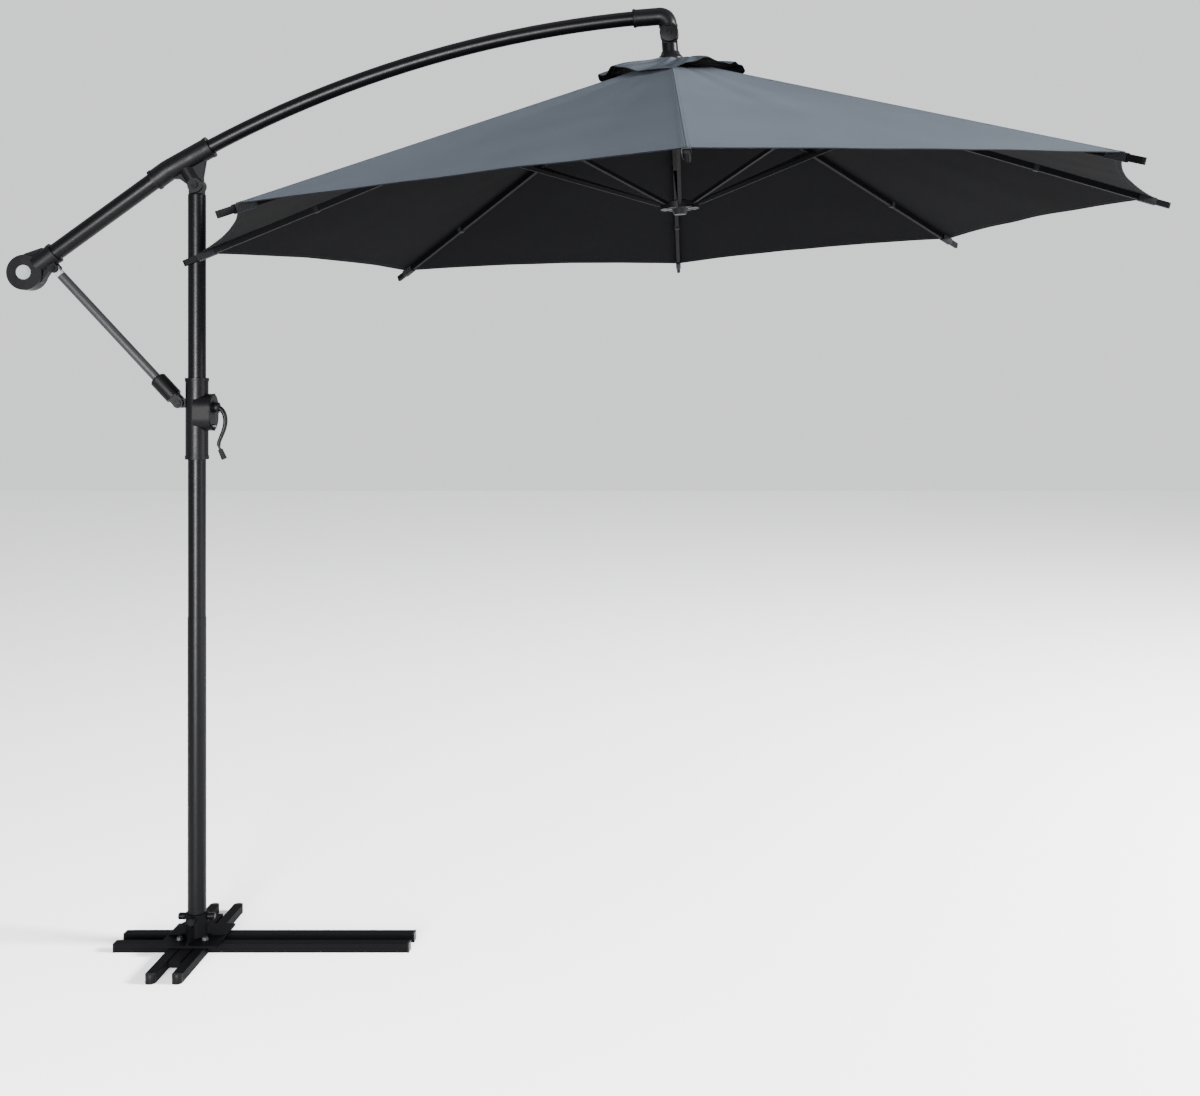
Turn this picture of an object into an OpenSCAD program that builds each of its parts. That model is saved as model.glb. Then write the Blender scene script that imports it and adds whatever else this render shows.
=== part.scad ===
// Cantilever patio umbrella on a cross base.
// Origin on the floor at the mast axis, +X towards the canopy, +Z up, all lengths in millimetres.

/* [Canopy] */
// Radius from the canopy axis to the rib tips
tip_r = 1375; // [1300:5:1400]
// Slope of the open ribs below the horizontal
rib_drop = 19.17; // [18:0.01:20]
// Lean of the canopy axis, with its top towards the mast
canopy_lean = 3.5; // [2:0.1:5]
// Turn of the canopy about its own axis, which takes one rib tip past the mast
canopy_turn = 1.5; // [1.5:0.1:3]
// Radius from the canopy axis to the corner of the cloth on each rib
cloth_r = 1330; // [1300:5:1340]
// Inward sag of each hem between two ribs
hem_sag = 36; // [20:1:60]
// Radius of the vent opening in the main cloth
vent_r = 150; // [120:5:170]
// Outer radius of the vent cap over the opening
cap_r = 207; // [190:1:220]
// Thickness of the cloth
cloth_t = 1.5; // [1:0.1:3]

/* [Ribs] */
// Width of a rib across the slope
rib_wide = 12; // [10:0.5:12]
// Depth of a rib
rib_deep = 16; // [14:0.5:16]
// Wall of the rib and stretcher tubes
thin_wall = 1; // [0.8:0.1:1.5]
// Distance along a rib from its hub pivot to its stretcher pivot
stretcher_at = 585; // [560:1:600]
// Side of the square stretcher tube
stretcher_side = 10; // [8:0.5:10]

/* [Mast] */
// Outer diameter of the upper mast
mast_d = 48; // [46:0.5:48]
// Outer diameter of the lower mast
mast_low_d = 50; // [49.5:0.1:50]
// Height of the joint between the two mast tubes
mast_joint_z = 915; // [850:5:950]
// Height of the arm pivot
arm_pivot_z = 2114; // [2100:1:2130]
// Wall of the mast and arm tubes
tube_wall = 1.5; // [1.2:0.1:2]

/* [Arm] */
// Radius of the curved front arm, at its axis
arc_r = 3157; // [3150:1:3165]
// Slope of the rear arm
rear_slope = 36; // [35.5:0.1:36.5]
// Outer diameter of the front arm
front_d = 40; // [38:0.5:40]
// Outer diameter of the rear arm
rear_d = 48; // [46:0.5:48]
// Length of the rear arm, from the bend to the centre of the tail disc
rear_len = 484; // [480:1:490]
// Diameter of the tail disc
tail_d = 98; // [96:1:104]

/* [Slider and crank] */
// Height of the lower end of the slider
slider_z = 1354; // [1340:1:1360]
// Length of the slider
slider_len = 226; // [220:1:230]
// Outer diameter of the slider
slider_d = 61; // [60:0.5:62]
// Height of the winch axis
winch_z = 1498; // [1496:1:1500]
// Teeth of the ratchet wheel
ratchet_teeth = 12; // [12:4:16]

/* [Strut] */
// Outer diameter of the strut tube
strut_d = 25; // [23:0.5:25]
// Outer diameter of the strut's lower socket
strut_socket_d = 46; // [42:1:46]

/* [Base] */
// Width of one base rail
rail_wide = 28; // [26:1:30]
// Height of the base rails
rail_high = 25; // [24:1:28]
// Wall of the base rails
rail_wall = 3; // [2:0.5:4]
// Gap between the two rails of a pair
rail_gap = 42; // [42:1:44]
// Reach of the long rails behind the mast
rail_back = 214; // [200:1:220]
// Reach of the long rails under the canopy
rail_front = 600; // [590:5:620]
// Reach of the short rails to each side
rail_side = 250; // [240:5:260]
// Side of the square foot plate
foot_plate = 160; // [150:2:170]

/* [Hidden] */
$fn = 64;
RIBS = 8;
RIB_STEP = 360 / RIBS;

charcoal = "#2b2d2f";
black_plastic = "#17181a";
cast_black = "#1e1f21";
zinc = "#a7a9ab";
blackened = "#222325";
cap_grey = "#8c8f92";
cloth_grey = "#5c626b";
cloth_dark = "#3f444c";

bolt_r = 5;
small_bolt_r = 4;
pin_r = 2;
run_fit = 0.06;
snug = 0.1;
skin = 0.01;
rail_off = (rail_gap + rail_wide) / 2;
rail_nose = rail_wide / 2;
plug_t = 5;
plate_z = rail_high + 0.2;
plate_t = 6;

// A point of the arm's axis on its arc, at an angle from the vertical
function arc_point(a) = arc_centre + arc_r * [-sin(a), 0, cos(a)];

// arm: the bend where the straight rear tube meets the arc
bend = [-80, 0, 2157];
bend_angle = 30.55;
arc_centre = bend + [arc_r * sin(bend_angle), 0, -arc_r * cos(bend_angle)];
elbow_angle = 3.88;
elbow = arc_point(elbow_angle);
rear_dir = [-cos(rear_slope), 0, -sin(rear_slope)];
rear_down = [sin(rear_slope), 0, -cos(rear_slope)];
tail = bend + rear_len * rear_dir;
arm_pivot = [0, 0, arm_pivot_z];
rear_r = rear_d / 2;
front_r = front_d / 2;
sleeve_r = 29;
// room that a straight bore gives the curved tube
bow_fit = 1;
pulley_gap = 14;
tail_pulley_r = 34;
elbow_pulley_r = 15;

// tongue and fork pivots
tongue_w = 20;
tongue_r = 20;
fork_gap = 21;

// strut
strut_top = tail + 69 * -rear_dir + 36 * rear_down;
strut_foot = [-47, 0, 1510];
strut_len = norm(strut_top - strut_foot);
strut_lug_w = 16;
strut_eye_r = 10.5;
strut_slot = 6.3;

// canopy head, measured down the canopy axis from the tilt pivot
tilt_pivot = [1314, 0, 2538];
hub_r = 40;
rib_pivot_w = -96;
hub_top = -87;
hub_low = -107;
hub_out_r = 56;
hub_core_r = 27;
slot_w = 11.6;
rib_tongue = 10.4;
rib_start = 30;
rib_len = (tip_r - hub_r) / cos(rib_drop);
runner_w = rib_pivot_w - 2 * stretcher_at * sin(rib_drop);
runner_core_r = 30;
fork_len = 62;
stub_r = 22.5;
stub_low = -72;
spigot_r = 15;
cap_inner_w = -74;
cap_rim_w = -120;
cap_hole_r = 18;

// mast and slider
mast_r = mast_d / 2;
mast_low_r = mast_low_d / 2;
mast_top = arm_pivot_z - 26;
socket_top = 94;
clamp_z = 83;
slider_r = slider_d / 2;
house_r = 38;
house_low_z = 1471;
pocket_r = 33;
pocket_x = 31.5;
cover_x = 44.6;
pawl_pivot = [0, 16, 1454];
// the crank's blade runs out, down and back in an S, and its grip runs on from there
crank_path = [[58, 0, winch_z], [70, 0, 1490], [79, 0, 1468], [76, 0, 1440], [65, 0, 1412],
    [61, 0, 1389]];
grip_root = crank_path[5];
grip_tip = [76, 0, 1355];

// ---- helpers ----

// Puts the children's origin at p and their +Z axis towards q
module along(p, q) {
    v = q - p;
    translate(p) rotate([0, acos(v.z / norm(v)), atan2(v.y, v.x)]) children();
}

// A cylinder along Y, centred on the children's origin
module across(r, w) {
    rotate([90, 0, 0]) cylinder(r = r, h = w, center = true);
}

// A cylinder along X, from x = 0
module outward(r, l) {
    rotate([0, 90, 0]) cylinder(r = r, h = l);
}

module tube(r, wall, l) {
    difference() {
        cylinder(r = r, h = l);
        translate([0, 0, -1]) cylinder(r = r - wall, h = l + 2);
    }
}

// A flat bar with round ends from p to q, w wide in the XZ plane and t thick along Y
module flat_link(p, q, w, t) {
    v = q - p;
    translate(p) across(w / 2, t);
    translate(q) across(w / 2, t);
    translate(p) rotate([0, -atan2(v.z, v.x), 0])
        translate([0, -t / 2 + 0.3, -w / 2 + 0.4]) cube([norm(v), t - 0.6, w - 0.8]);
}

// A bolt along Y with a domed head at each end
module cross_bolt(p, r, w, head_r, head_t) {
    translate(p) {
        across(r, w + head_t);
        for (side = [-1, 1])
            translate([0, side * (w / 2 + head_t / 2), 0]) across(head_r, head_t);
    }
}

// A hexagonal bolt head with its washer, standing on the children's origin
module hex_head(r, h) {
    cylinder(r = r * 1.25, h = 1.5);
    translate([0, 0, 1.5 - skin]) cylinder(r = r, h = h, $fn = 6);
}

// A piece of the arm's arc of section radius r, between two angles from the vertical
module arc_rod(r, from, to) {
    translate(arc_centre) rotate([90, 0, 0]) rotate([0, 0, 90 + from])
        rotate_extrude(angle = to - from) translate([arc_r, 0]) circle(r = r);
}

module canopy_frame() {
    translate(tilt_pivot) rotate([0, -canopy_lean, 0]) children();
}

module rib_plane(i) {
    canopy_frame() rotate([0, 0, canopy_turn + RIB_STEP * i]) children();
}

// +X runs out along the rib from its hub pivot
module rib_frame(i) {
    rib_plane(i) translate([hub_r, 0, rib_pivot_w]) rotate([0, rib_drop, 0]) children();
}

// +X runs inwards along the stretcher from its pivot on the rib
module stretcher_frame(i) {
    rib_frame(i) translate([stretcher_at, 0, 0]) rotate([0, 180 - 2 * rib_drop, 0]) children();
}

// ---- base ----

module rail(l) {
    difference() {
        translate([0, -rail_wide / 2, 0]) cube([l, rail_wide, rail_high]);
        translate([-1, -rail_wide / 2 + rail_wall, rail_wall])
            cube([l + 2, rail_wide - 2 * rail_wall, rail_high - 2 * rail_wall]);
    }
}

module foot_bolt_places() {
    for (x = [-1, 1], y = [-1, 1]) translate([x * rail_off, y * rail_off, 0]) children();
}

module lap_cuts(z, h) {
    for (x = [-1, 1])
        translate([x * rail_off - rail_wide / 2 - snug, -rail_side, z])
            cube([rail_wide + 2 * snug, 2 * rail_side, h]);
}

module long_rails() {
    color(charcoal) difference() {
        for (y = [-1, 1])
            translate([-rail_back + plug_t, y * rail_off, 0])
                rail(rail_back + rail_front - 2 * plug_t);
        lap_cuts(rail_high / 2, rail_high);
    }
}

module short_rails() {
    color(charcoal) difference() {
        for (x = [-1, 1])
            translate([x * rail_off, -rail_side + rail_nose, 0]) rotate([0, 0, 90])
                rail(2 * (rail_side - rail_nose));
        rotate([0, 0, 90]) lap_cuts(-1, rail_high / 2 + 1 + snug);
        foot_bolt_places() translate([0, 0, rail_high - rail_wall - 1]) cylinder(r = bolt_r + 0.5, h = 6);
    }
}

module end_plug(nose) {
    inner = rail_wide - 2 * rail_wall - 2 * snug;
    translate([-18, -inner / 2, rail_wall + snug])
        cube([19, inner, rail_high - 2 * rail_wall - 2 * snug]);
    if (nose)
        intersection() {
            cylinder(r = rail_nose, h = rail_high);
            translate([skin, -rail_wide, 0]) cube([rail_wide, 2 * rail_wide, rail_high]);
        }
    else
        translate([skin, -rail_nose, 0]) cube([plug_t, rail_wide, rail_high]);
}

module rail_end_caps() {
    color(black_plastic) for (side = [-1, 1]) {
        translate([rail_front - plug_t, side * rail_off, 0]) end_plug(false);
        translate([-rail_back + plug_t, side * rail_off, 0]) rotate([0, 0, 180]) end_plug(false);
        translate([side * rail_off, rail_side - rail_nose, 0]) rotate([0, 0, 90]) end_plug(true);
        translate([side * rail_off, -rail_side + rail_nose, 0]) rotate([0, 0, -90]) end_plug(true);
    }
}

module gusset() {
    rotate([90, 0, 0]) translate([0, 0, -3]) linear_extrude(6)
        polygon([[27, 30], [foot_plate / 2 - 3, 30], [foot_plate / 2 - 3, 34], [40, 64], [27, 68]]);
}

module mast_foot() {
    block = rail_gap - 1;
    spreader = [31, 115, rail_high - 7.7];
    color(cast_black) difference() {
        union() {
            translate([-foot_plate / 2, -foot_plate / 2, plate_z])
                cube([foot_plate, foot_plate, plate_t]);
            translate([-block / 2, -block / 2, 0]) cube([block, block, plate_z + 1]);
            for (y = [50, -165]) translate([-spreader.x / 2, y, 8]) cube(spreader);
            translate([0, 0, plate_z]) cylinder(r = mast_low_r + 5, h = socket_top - plate_z);
            for (a = [0:90:270]) rotate([0, 0, a]) gusset();
        }
        translate([0, 0, plate_z + plate_t]) cylinder(r = mast_low_r + snug, h = socket_top);
        for (a = [0:90:270]) rotate([0, 0, a]) translate([0, 0, clamp_z])
            outward(small_bolt_r + run_fit, 60);
        foot_bolt_places() translate([0, 0, plate_z - 1]) cylinder(r = bolt_r + 0.5, h = 8);
    }
}

module foot_bolts() {
    color(zinc) foot_bolt_places() {
        translate([0, 0, rail_high - rail_wall]) cylinder(r = bolt_r, h = 10);
        translate([0, 0, plate_z + plate_t + snug]) hex_head(8, 6);
    }
}

// Four thumb screws that clamp the mast in the socket
module socket_screws() {
    color(black_plastic) for (a = [0:90:270]) rotate([0, 0, a])
        translate([mast_low_r + 0.4, 0, clamp_z]) {
            outward(small_bolt_r, 12);
            translate([6, 0, 0]) outward(9.5, 17);
            translate([23 - skin, 0, 0]) outward(7.5, 2);
        }
}

// ---- mast ----

module mast_lower() {
    z0 = plate_z + plate_t + 0.3;
    color(charcoal) translate([0, 0, z0]) tube(mast_low_r, tube_wall, mast_joint_z - z0);
}

module mast_upper() {
    spigot = mast_low_r - tube_wall - snug;
    color(charcoal) union() {
        translate([0, 0, mast_joint_z + 0.5])
            tube(mast_r, tube_wall, mast_top - mast_joint_z - 0.5);
        translate([0, 0, mast_joint_z - 70]) tube(spigot, tube_wall, 72);
    }
}

module mast_head() {
    color(black_plastic) difference() {
        union() {
            translate([0, 0, mast_top - 50]) cylinder(r = mast_r - tube_wall - snug, h = 51);
            translate([0, 0, mast_top + 0.2]) cylinder(r1 = mast_r + 0.5, r2 = mast_r - 3, h = 3.8);
            translate(arm_pivot) across(tongue_r, tongue_w);
            translate([-tongue_r, -tongue_w / 2, mast_top + 1])
                cube([2 * tongue_r, tongue_w, arm_pivot_z - mast_top - 1]);
        }
        translate(arm_pivot) across(bolt_r + run_fit, 40);
    }
}

// ---- slider, winch and crank ----

// The outline of the winch housing, extruded along X from x0 to x1
module house_block(r, x0, x1) {
    for (z = [winch_z, house_low_z]) translate([x0, 0, z]) outward(r, x1 - x0);
    translate([x0, -r, house_low_z]) cube([x1 - x0, 2 * r, winch_z - house_low_z]);
}

module cover_screw_places() {
    for (p = [[35.5, 1484], [-35.5, 1484], [0, 1533.5], [0, 1435.5]])
        translate([0, p.x, p.y]) children();
}

module slider_sleeve() {
    color(black_plastic) difference() {
        union() {
            translate([0, 0, slider_z]) cylinder(r = slider_r, h = slider_len);
            translate([0, 0, slider_z]) cylinder(r = slider_r + 1.5, h = 10);
            translate([0, 0, slider_z + slider_len - 10]) cylinder(r = slider_r + 1.5, h = 10);
            house_block(house_r, 0, cover_x - 0.1);
            translate(strut_foot) across(13, strut_lug_w);
            translate(strut_foot + [0, -strut_lug_w / 2, -13]) cube([25, strut_lug_w, 26]);
        }
        translate([0, 0, slider_z - 1]) cylinder(r = mast_r + 0.5, h = slider_len + 2);
        house_block(pocket_r, pocket_x, cover_x + 1);
        translate([27, 0, winch_z]) outward(bolt_r + run_fit, 10);
        translate(strut_foot) across(bolt_r + run_fit, 40);
        cover_screw_places() translate([cover_x - 10, 0, 0]) outward(1.6, 12);
    }
    color(black_plastic) translate(pawl_pivot + [pocket_x - 1, 0, 0]) outward(3, 12.5);
}

module winch_cover() {
    color(black_plastic) difference() {
        union() {
            house_block(house_r, cover_x, cover_x + 2);
            house_block(house_r - 3, cover_x + 1, cover_x + 3.4);
            translate([cover_x + 1, 0, winch_z]) outward(19, 3.6);
        }
        translate([cover_x - 1, 0, winch_z]) outward(bolt_r + 0.5, 12);
        translate([cover_x - 1, -16, 1439]) cube([12, 14, 13]);
        cover_screw_places() translate([cover_x - 1, 0, 0]) outward(2.1, 12);
    }
}

module cover_screws() {
    color(blackened) cover_screw_places() translate([cover_x - 8, 0, 0]) {
        outward(1.5, 12);
        translate([11.5, 0, 0]) outward(3.4, 1.8);
    }
}

module strut_pin_lower() {
    color(blackened) cross_bolt(strut_foot, bolt_r, 41, 9, 4);
}

module winch_shaft() {
    color(zinc) translate([27.2, 0, winch_z]) outward(bolt_r, 35.8);
}

module winch_drum() {
    color(zinc) translate([32, 0, winch_z]) rotate([0, 90, 0]) rotate_extrude()
        polygon([[bolt_r + 0.02, 0], [26, 0], [26, 1], [16, 2], [16, 5], [26, 6], [26, 7],
                 [bolt_r + 0.02, 7]]);
}

module ratchet_wheel() {
    step = 360 / ratchet_teeth;
    outline = [for (k = [0:ratchet_teeth - 1], e = [0, 1])
        (e == 0 ? 27 : 23) * [cos(step * k + 2 * e), sin(step * k + 2 * e)]];
    color(zinc) translate([39.3, 0, winch_z]) rotate([0, 90, 0]) rotate([0, 0, -2])
        difference() {
            linear_extrude(3.5) polygon(outline);
            translate([0, 0, -1]) cylinder(r = bolt_r + 0.02, h = 6);
        }
}

module crank_arm() {
    color(black_plastic) difference() {
        union() {
            translate([49.5, 0, winch_z]) outward(15, 13);
            for (k = [0:len(crank_path) - 2]) flat_link(crank_path[k], crank_path[k + 1], 14, 16);
            along(grip_root, grip_tip) translate([0, 0, 2]) cylinder(r = 3.2, h = 34);
        }
        translate([48, 0, winch_z]) outward(bolt_r + 0.02, 15.2);
    }
}

module crank_grip() {
    color(cast_black) along(grip_root, grip_tip) difference() {
        translate([0, 0, 8]) cylinder(r1 = 6.8, r2 = 8, h = 30);
        translate([0, 0, 7]) cylinder(r = 3.27, h = 29.4);
    }
}

// The pawl's finger reaches out through the cover, and lifts its nose off the wheel
module ratchet_pawl() {
    nose_y = -1.5;
    nose_z = 1467;
    finger = [41, -9, 1446.5];
    color(zinc) difference() {
        union() {
            translate([41, 0, 0]) rotate([0, 0, -90]) {
                flat_link([-pawl_pivot.y, 0, pawl_pivot.z], [-nose_y, 0, nose_z], 8, 3.4);
                flat_link([-pawl_pivot.y, 0, pawl_pivot.z], [-finger.y, 0, finger.z], 6, 3.4);
                translate([-nose_y, 0, nose_z]) rotate([0, 20, 0])
                    translate([-2, -1.7, 0]) cube([4, 3.4, 6]);
            }
            translate(finger) outward(3, 17);
        }
        translate([30, pawl_pivot.y, pawl_pivot.z]) outward(3 + run_fit, 20);
    }
}

// ---- strut ----

module strut_tube() {
    color(charcoal) along(strut_foot, strut_top)
        translate([0, 0, 62]) tube(strut_d / 2, tube_wall, strut_len - 62 - 26);
}

module strut_socket() {
    r = strut_socket_d / 2;
    color(black_plastic) difference() {
        union() {
            along(strut_foot, strut_top) {
                translate([0, 0, 24]) cylinder(r = r, h = 66);
                translate([0, 0, 90 - skin]) cylinder(r1 = r, r2 = r - 5, h = 5);
                translate([-13, -19.5, 0]) cube([26, 39, 26]);
            }
            translate(strut_foot) across(14, 40);
        }
        translate(strut_foot) across(15.5, strut_lug_w + 1);
        along(strut_foot, strut_top) translate([-16, -strut_lug_w / 2 - 0.4, -1])
            cube([32, strut_lug_w + 0.8, 19]);
        translate(strut_foot) across(bolt_r + run_fit, 60);
        along(strut_foot, strut_top) translate([0, 0, 61]) cylinder(r = strut_d / 2 + snug, h = 60);
    }
}

module strut_eye() {
    color(cap_grey) difference() {
        union() {
            along(strut_foot, strut_top) {
                translate([0, 0, strut_len - 60]) cylinder(r = strut_d / 2 - tube_wall - snug, h = 35);
                translate([0, 0, strut_len - 25.8]) cylinder(r = strut_d / 2, h = 9);
                translate([-8.5, -6.7, strut_len - 18]) cube([17, 13.4, 18]);
            }
            translate(strut_top) across(strut_eye_r, 14);
        }
        translate(strut_top) across(strut_slot, 20);
    }
}

// ---- arm ----

module arm_bracket() {
    stem_top = [-38, 0, 2176];
    color(cast_black) difference() {
        union() {
            along(bend, bend + rear_dir) {
                translate([0, 0, -2]) cylinder(r = sleeve_r, h = 48);
                translate([0, 0, 40]) cylinder(r = sleeve_r + 1.5, h = 8);
            }
            along(bend, arc_point(28.1)) {
                translate([0, 0, -2]) cylinder(r = sleeve_r, h = 136);
                translate([0, 0, 128]) cylinder(r = sleeve_r + 1.5, h = 8);
            }
            along(arm_pivot, stem_top) cylinder(r = 20, h = 60);
            translate(arm_pivot) across(tongue_r, 42);
            rotate([90, 0, 0]) translate([0, 0, -9]) linear_extrude(18)
                polygon([[-86, 2134], [-46, 2133], [-18, 2112], [0, 2112], [18, 2116], [17, 2138],
                         [26, 2192], [-40, 2180]]);
        }
        translate(arm_pivot) across(tongue_r + 1.5, fork_gap);
        translate([-24, -fork_gap / 2, arm_pivot_z - 24]) cube([48, fork_gap, 30]);
        translate(arm_pivot) across(bolt_r + run_fit, 60);
        along(bend, bend + rear_dir) translate([0, 0, 3]) cylinder(r = rear_r + snug, h = 60);
        along(bend, arc_point(28.1)) translate([0, 0, 3]) cylinder(r = front_r + bow_fit, h = 160);
    }
}

module arm_rear_tube() {
    color(charcoal) along(bend, bend + rear_dir)
        translate([0, 0, 4]) tube(rear_r, tube_wall, rear_len - 4 - 52);
}

module arm_front_tube() {
    color(charcoal) difference() {
        arc_rod(front_r, elbow_angle + 0.35, bend_angle - 0.1);
        arc_rod(front_r - tube_wall, elbow_angle + 0.2, bend_angle + 0.1);
    }
}

module tail_fitting() {
    lug_w = 32;
    color(cast_black) difference() {
        union() {
            translate(tail) across(tail_d / 2, 44);
            along(tail, bend) translate([0, 0, 34]) cylinder(r = rear_r + 4.5, h = 58);
            along(tail, bend) translate([0, 0, 88]) cylinder(r = rear_r + 6, h = 8);
            translate(strut_top) across(12.5, lug_w);
            translate(strut_top) rotate([0, -rear_slope, 0])
                translate([-12, -lug_w / 2 + 0.5, 0]) cube([24, lug_w - 1, 24]);
            translate(tail) rotate([90, 0, 0]) rotate([0, 0, rear_slope])
                translate([0, 0, -11]) linear_extrude(22)
                    polygon([[0, 48], [30, 44], [76, 30], [76, -30], [52, -36], [20, -47], [0, -48]]);
        }
        translate(tail) across(tail_pulley_r + 4, pulley_gap);
        translate(tail) across(bolt_r + run_fit, 43.8);
        along(tail, bend) translate([0, 0, 20]) cylinder(r = 9, h = 60);
        along(tail, bend) translate([0, 0, 51]) cylinder(r = rear_r + snug, h = 80);
        translate(strut_top) across(strut_eye_r + 3.2, 15);
        along(strut_top, strut_foot) translate([-13.2, -7.4, 0]) cube([26.4, 14.8, 40]);
        translate(strut_top) across(small_bolt_r + run_fit, 60);
    }
}

module tail_caps() {
    color(cap_grey) for (side = [-1, 1])
        translate(tail + [0, side * 23.7, 0]) across(20, 3);
    color(cap_grey) for (side = [-1, 1])
        translate(tail + [0, side * 25.9, 0]) across(16, 1.6);
}

// The three pivot bolts and the two pulley axles
module arm_pins() {
    color(blackened) {
        cross_bolt(arm_pivot, bolt_r, 43, 10, 5);
        cross_bolt(strut_top, small_bolt_r, 33, 7.5, 4);
        cross_bolt(tilt_pivot, bolt_r, 49, 8.5, 3);
        translate(tail) across(bolt_r, 43);
        translate(elbow) across(small_bolt_r, 30);
    }
}

module pulley(r, w, bore) {
    rotate([90, 0, 0]) rotate_extrude() difference() {
        translate([bore, -w / 2]) square([r - bore, w]);
        translate([r + 1, 0]) circle(r = w / 3);
    }
}

module tail_pulley() {
    color(zinc) translate(tail) pulley(tail_pulley_r, pulley_gap - 2, bolt_r + run_fit);
}

module elbow_pulley() {
    color(zinc) translate(elbow) pulley(elbow_pulley_r, pulley_gap - 3, small_bolt_r + run_fit);
}

module elbow_fitting() {
    sleeve_start = 5.66;
    leg_r = 27;
    color(cast_black) difference() {
        union() {
            along(elbow, arc_point(sleeve_start)) {
                cylinder(r = 24, h = 98);
                translate([0, 0, 90]) cylinder(r = 25.5, h = 8);
            }
            translate(elbow) across(24, 44);
            translate([tilt_pivot.x, 0, tilt_pivot.z]) cylinder(r = 23.5, h = elbow.z - tilt_pivot.z + 4);
            translate(tilt_pivot) across(leg_r, 48);
        }
        translate(tilt_pivot) across(26, fork_gap);
        translate(tilt_pivot + [-40, -fork_gap / 2, -40]) cube([80, fork_gap, 40]);
        translate(tilt_pivot) across(bolt_r + run_fit, 70);
        translate(elbow) across(elbow_pulley_r + 2, pulley_gap - 1);
        translate(elbow) across(small_bolt_r + run_fit, 31);
        along(elbow, arc_point(sleeve_start)) {
            translate([0, 0, 16.5]) cylinder(r = front_r + bow_fit, h = 100);
            cylinder(r = 7, h = 20);
        }
    }
}

// ---- canopy head ----

module pole_knuckle() {
    r = 22;
    color(charcoal) canopy_frame() difference() {
        union() {
            across(r, tongue_w);
            translate([-r, -tongue_w / 2, -32]) cube([2 * r, tongue_w, 32]);
            translate([0, 0, stub_low]) cylinder(r = stub_r, h = -stub_low - 30);
            translate([0, 0, -120]) cylinder(r = spigot_r, h = 120 + stub_low + 1);
        }
        across(bolt_r + run_fit, 60);
        translate([0, 0, -121]) cylinder(r = 5, h = 95);
    }
}

module vent_collar() {
    color(black_plastic) canopy_frame() rotate_extrude()
        polygon([[stub_r + snug, -71.6], [37, -73.8], [37, -71], [32, -64], [27, -58],
                 [25.5, -52], [stub_r + snug, -52]]);
}

module hub_slots(z0, z1, core) {
    for (i = [0:RIBS - 1]) rotate([0, 0, canopy_turn + RIB_STEP * i])
        translate([core, -slot_w / 2, z0]) cube([60, slot_w, z1 - z0]);
}

module top_hub() {
    color(black_plastic) canopy_frame() difference() {
        union() {
            difference() {
                union() {
                    translate([0, 0, hub_low]) cylinder(r = hub_out_r, h = hub_top - hub_low);
                    translate([0, 0, hub_top - 1]) cylinder(r = 26, h = -77.5 - hub_top + 1);
                }
                hub_slots(hub_low - 1, hub_top + 1, hub_core_r);
            }
            for (i = [0:RIBS - 1]) rotate([0, 0, canopy_turn + RIB_STEP * i])
                translate([hub_r, 0, rib_pivot_w]) across(pin_r, slot_w + 6);
        }
        translate([0, 0, -125]) cylinder(r = spigot_r + snug, h = 60);
    }
}

module vent_cap() {
    t = cloth_t;
    color(cloth_dark) canopy_frame() rotate_extrude()
        polygon([[cap_hole_r, cap_inner_w - t], [38, cap_inner_w - t - 1], [cap_r, cap_rim_w - t],
                 [cap_r, cap_rim_w], [38, cap_inner_w - 1], [cap_hole_r, cap_inner_w - 0.2]]);
}

module runner() {
    color(black_plastic) canopy_frame() difference() {
        union() {
            translate([0, 0, runner_w - 9]) cylinder(r = 54, h = 18);
            translate([0, 0, runner_w - 24]) cylinder(r1 = 17, r2 = 24, h = 16);
            translate([0, 0, runner_w + 8]) cylinder(r = 20, h = 8);
        }
        hub_slots(runner_w - 12, runner_w + 12, runner_core_r);
        translate([0, 0, runner_w - 30]) cylinder(r = 4, h = 60);
    }
}

// ---- ribs, stretchers and cloth ----

module rib(i) {
    tip_cap = 14;
    color(charcoal) rib_frame(i) {
        difference() {
            union() {
                across(8, rib_tongue);
                translate([0, -rib_tongue / 2, -5]) cube([rib_start + 20, rib_tongue, 10]);
                translate([rib_start, -rib_wide / 2, -rib_deep / 2]) difference() {
                    cube([rib_len - tip_cap - rib_start, rib_wide, rib_deep]);
                    translate([2, thin_wall, thin_wall])
                        cube([rib_len, rib_wide - 2 * thin_wall, rib_deep - 2 * thin_wall]);
                }
                translate([stretcher_at, 0, 0]) across(pin_r, rib_wide + 8);
            }
            across(pin_r + run_fit, 30);
        }
        translate([rib_len - tip_cap - 1, -rib_wide / 2, -rib_deep / 2])
            cube([tip_cap + 1 - rib_wide / 2, rib_wide, rib_deep]);
        translate([rib_len - rib_wide / 2, 0, -rib_deep / 2])
            cylinder(r = rib_wide / 2, h = rib_deep);
    }
}

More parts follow.
